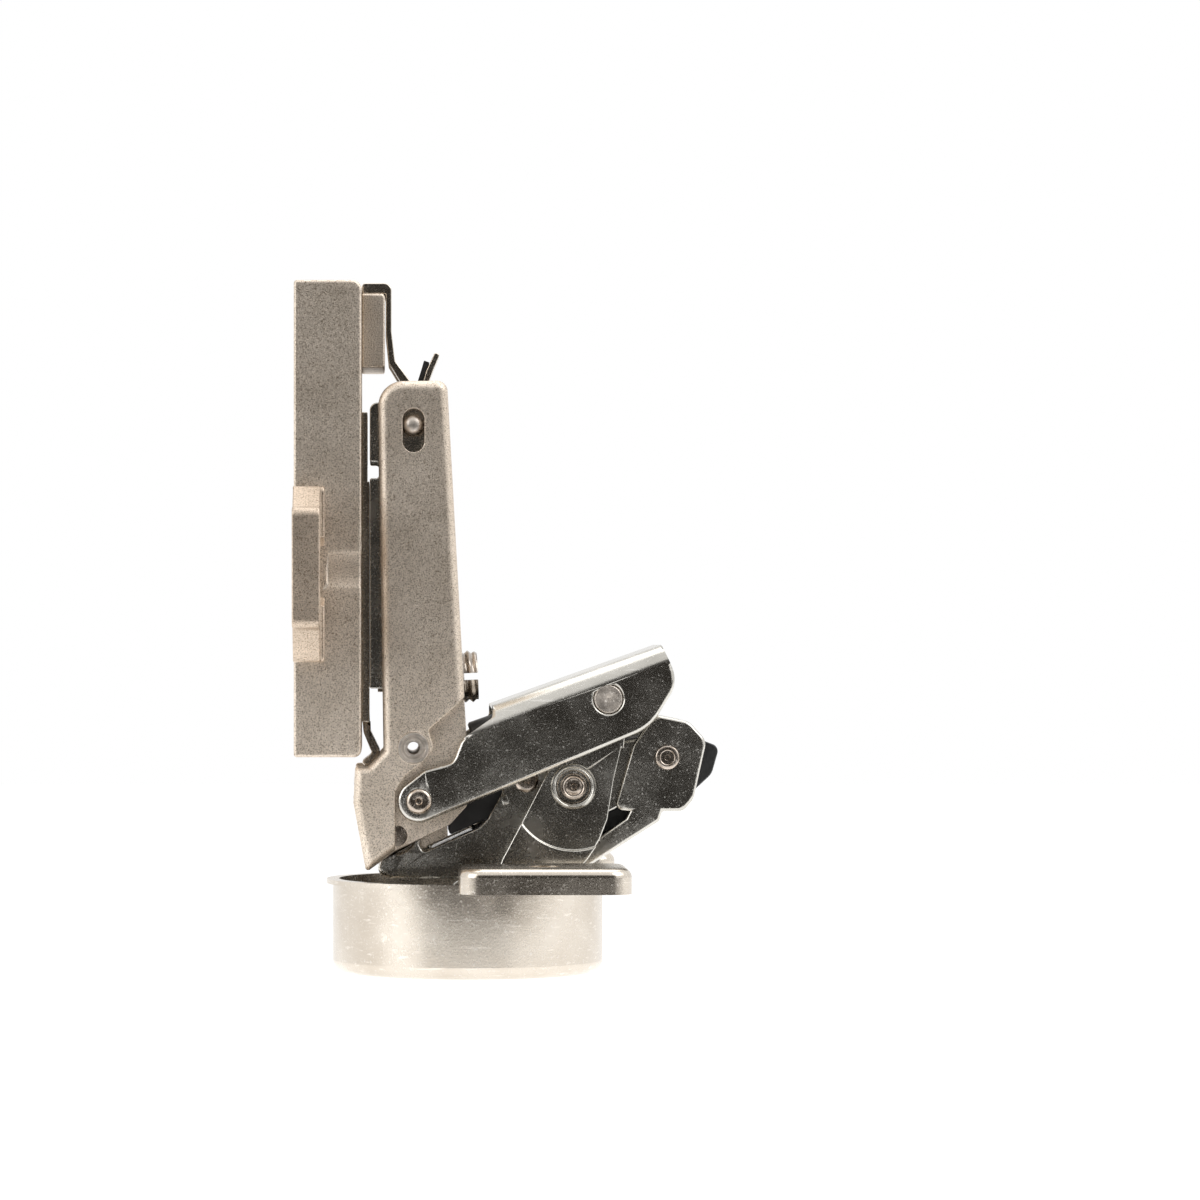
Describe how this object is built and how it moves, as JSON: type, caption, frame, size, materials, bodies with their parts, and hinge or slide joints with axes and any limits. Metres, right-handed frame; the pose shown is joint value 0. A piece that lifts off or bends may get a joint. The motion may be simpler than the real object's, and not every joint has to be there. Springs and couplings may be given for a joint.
{
  "type": "concealed cup hinge",
  "caption": "Concealed cup hinge for an inset cabinet door, with a clip-on arm, a wing plate, steel levers, a damper and a pressed cup, shown closed.",
  "frame": {"origin": "midway between the two panel screw holes, on the face that lies on the cabinet panel", "axes": "+X away from the panel, towards the inside of the opening; +Y along the pivots; +Z towards the back of the cabinet"},
  "size_m": [0.0545, 0.0596, 0.089],
  "materials": {
    "cast_zinc": "matte nickel plate on die-cast zinc",
    "plated_steel": "polished nickel plate",
    "cup_steel": "bright nickel plate",
    "rivet_steel": "turned steel",
    "screw_steel": "dark plated steel",
    "spring_steel": "drawn wire",
    "black_plastic": "moulded, satin"
  },
  "bodies": {
    "bar": {"wing_bar": "cast_zinc"},
    "plate": {"plate_body": "cast_zinc", "rear_catch": "cast_zinc", "clip_rail": "cup_steel", "clip_carriage": "plated_steel"},
    "height_cam": {"height_cam": "screw_steel"},
    "release_lever": {"release_lever": "cup_steel", "latch_spring": "black_plastic"},
    "latch_pin": {"latch_pin": "rivet_steel"},
    "arm": {"arm_body": "cast_zinc", "spring_axle": "rivet_steel", "closing_spring": "spring_steel", "outer_lever_pin": "rivet_steel", "inner_lever_pin": "rivet_steel"},
    "side_screw": {"side_screw": "screw_steel"},
    "depth_cam": {"depth_cam": "screw_steel"},
    "outer_lever": {"outer_lever": "plated_steel", "knuckle_rivets": "rivet_steel", "damper_cylinder": "black_plastic"},
    "damper_rod": {"damper_rod": "black_plastic"},
    "cup_lever": {"cup_lever": "plated_steel", "cross_rivets": "rivet_steel"},
    "inner_lever": {"inner_lever": "plated_steel", "damper_housing": "black_plastic", "housing_rivet": "rivet_steel", "link_rivets": "rivet_steel"},
    "cup_link": {"cup_link": "plated_steel"},
    "cup": {"cup": "cup_steel", "cup_cradle": "plated_steel", "lever_cup_pin": "rivet_steel", "link_cup_pin": "rivet_steel"}
  },
  "joints": [
    {"name": "height_slide", "type": "slide", "parent": "bar", "child": "plate", "axis": [0, 1, 0], "range_m": [-0.002, 0.002]},
    {"name": "height_cam_turn", "type": "hinge", "parent": "plate", "child": "height_cam", "pos_m": [0, 0, 0.031], "axis": [1, 0, 0], "range_deg": [-45, 45]},
    {"name": "latch_release", "type": "hinge", "parent": "plate", "child": "release_lever", "pos_m": [0.01523, 0, 0.01888], "axis": [0, 1, 0], "range_deg": [0, 8], "stiffness_Nm_per_rad": 0.05, "springref_deg": -5.73},
    {"name": "arm_tilt", "type": "hinge", "parent": "plate", "child": "latch_pin", "pos_m": [0.01523, 0, 0.01888], "axis": [0, 1, 0], "range_deg": [-1.2, 1.2]},
    {"name": "depth_slide", "type": "slide", "parent": "latch_pin", "child": "arm", "axis": [0, 0, 1], "range_m": [-0.0006, 0.001]},
    {"name": "side_screw_turn", "type": "hinge", "parent": "arm", "child": "side_screw", "pos_m": [0.0237, 0, -0.01335], "axis": [0.9989, 0, 0.0466], "range_deg": [-300, 300]},
    {"name": "depth_cam_turn", "type": "hinge", "parent": "arm", "child": "depth_cam", "pos_m": [0.02035, 0, 0.008], "axis": [0.9989, 0, 0.0466], "range_deg": [-78, 129]},
    {"name": "fold", "type": "hinge", "parent": "arm", "child": "outer_lever", "pos_m": [0.01599, 0, -0.02928], "axis": [0, 1, 0], "range_deg": [0, 101.5]},
    {"name": "knuckle_turn", "type": "hinge", "parent": "outer_lever", "child": "cup_lever", "pos_m": [0.04017, 0, -0.0162], "axis": [0, 1, 0], "range_deg": [-43, 0]},
    {"name": "inner_turn", "type": "hinge", "parent": "cup_lever", "child": "inner_lever", "pos_m": [0.03576, 0, -0.02741], "axis": [0, 1, 0], "range_deg": [0, 48.1]},
    {"name": "cup_turn", "type": "hinge", "parent": "cup_lever", "child": "cup", "pos_m": [0.01756, 0, -0.0452], "axis": [0, 1, 0], "range_deg": [0, 96.5]},
    {"name": "link_turn", "type": "hinge", "parent": "inner_lever", "child": "cup_link", "pos_m": [0.04783, 0, -0.02372], "axis": [0, 1, 0], "range_deg": [-43.8, 0]},
    {"name": "damper_stroke", "type": "slide", "parent": "outer_lever", "child": "damper_rod", "axis": [-0.9421, 0, -0.3355], "range_m": [0, 0.0051]}
  ],
  "couplings": [
    {"joint": "height_cam_turn", "follows": "height_slide", "rad_per_m": -392.7},
    {"joint": "side_screw_turn", "follows": "arm_tilt", "ratio": 250},
    {"joint": "depth_cam_turn", "follows": "depth_slide", "rad_per_m": 2244},
    {"joint": "knuckle_turn", "follows": "fold", "ratio": -0.42168},
    {"joint": "inner_turn", "follows": "fold", "ratio": 0.47192},
    {"joint": "cup_turn", "follows": "fold", "ratio": 0.94877},
    {"joint": "link_turn", "follows": "fold", "ratio": -0.42956},
    {"joint": "damper_stroke", "follows": "fold", "m_per_rad": 0.002822}
  ]
}
